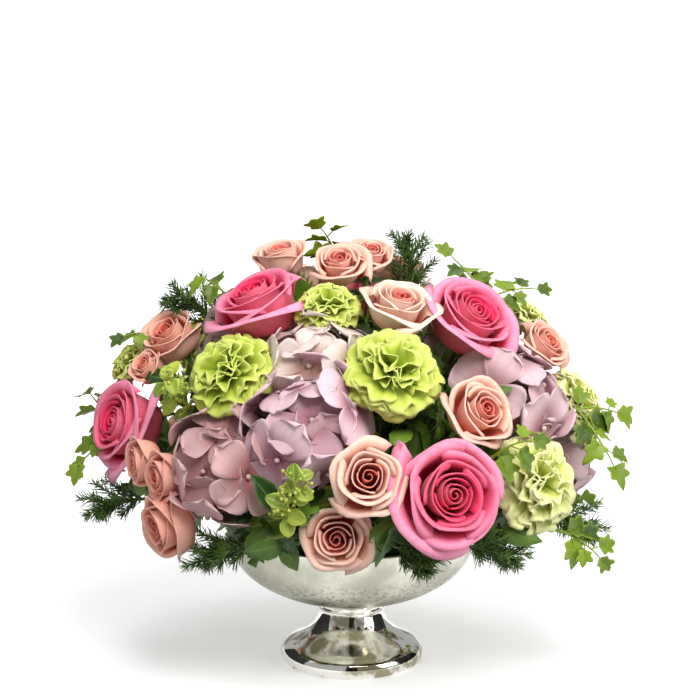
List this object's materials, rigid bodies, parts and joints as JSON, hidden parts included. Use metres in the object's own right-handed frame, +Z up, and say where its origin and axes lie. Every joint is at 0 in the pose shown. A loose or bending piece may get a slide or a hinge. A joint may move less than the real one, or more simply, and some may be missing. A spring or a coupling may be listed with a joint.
{
  "type": "floral table centrepiece",
  "caption": "Low, round flower arrangement of roses, carnations, hydrangea and greenery, held by a domed foam block in a silvered glass pedestal bowl.",
  "frame": {"origin": "the middle of the bowl foot's flat underside, on the surface that it stands on", "axes": "+Z up along the bowl's axis, -Y towards the viewer of the picture, +X to the viewer's right"},
  "size_m": [0.39, 0.3565, 0.3124],
  "materials": {
    "mercury_glass": "silvered glass, mottled and slightly frosted on the cup, glossy on the ring, waist and foot",
    "floral_foam": "wet, crumbly dark green phenolic foam",
    "stem": "satin green plant stems",
    "rose_petal": "velvety deep pink petals, paler at the rolled edges",
    "spray_rose_petal": "velvety blush and cream petals, salmon at the heart",
    "carnation_petal": "crisp lime green petals with pale ruffled edges",
    "hydrangea_petal": "thin dusty pink petals with faint veins",
    "ivy_leaf": "satin mid green leaves",
    "bupleurum_leaf": "satin yellow green leaves",
    "fern_needle": "fine dark green needles"
  },
  "bodies": {
    "root": {"bowl": "mercury_glass", "floral_foam": "floral_foam", "flower_stems": "stem", "rose_1": "rose_petal", "rose_2": "rose_petal", "rose_3": "rose_petal", "rose_4": "rose_petal", "rose_5": "rose_petal", "rose_6": "rose_petal", "rose_7": "rose_petal", "spray_rose_1": "spray_rose_petal", "spray_rose_2": "spray_rose_petal", "spray_rose_3": "spray_rose_petal", "spray_rose_4": "spray_rose_petal", "spray_rose_5": "spray_rose_petal", "spray_rose_6": "spray_rose_petal", "spray_rose_7": "spray_rose_petal", "spray_rose_8": "spray_rose_petal", "spray_rose_9": "spray_rose_petal", "spray_rose_10": "spray_rose_petal", "spray_rose_11": "spray_rose_petal", "spray_rose_12": "spray_rose_petal", "spray_rose_13": "spray_rose_petal", "carnation_1": "carnation_petal", "carnation_2": "carnation_petal", "carnation_3": "carnation_petal", "carnation_4": "carnation_petal", "carnation_5": "carnation_petal", "carnation_6": "carnation_petal", "carnation_7": "carnation_petal", "carnation_8": "carnation_petal", "carnation_9": "carnation_petal", "hydrangea_1": "hydrangea_petal", "hydrangea_2": "hydrangea_petal", "hydrangea_3": "hydrangea_petal", "hydrangea_4": "hydrangea_petal", "hydrangea_5": "hydrangea_petal", "hydrangea_6": "hydrangea_petal", "hydrangea_7": "hydrangea_petal", "hydrangea_8": "hydrangea_petal", "ivy_1": "ivy_leaf", "ivy_2": "ivy_leaf", "ivy_3": "ivy_leaf", "ivy_4": "ivy_leaf", "ivy_5": "ivy_leaf", "ivy_6": "ivy_leaf", "ivy_7": "ivy_leaf", "ivy_8": "ivy_leaf", "ivy_9": "ivy_leaf", "ivy_10": "ivy_leaf", "bupleurum_1": "bupleurum_leaf", "bupleurum_2": "bupleurum_leaf", "fern_1": "fern_needle", "fern_2": "fern_needle", "fern_3": "fern_needle", "fern_4": "fern_needle", "fern_5": "fern_needle", "fern_6": "fern_needle", "fern_7": "fern_needle", "fern_8": "fern_needle"}
  },
  "joints": []
}
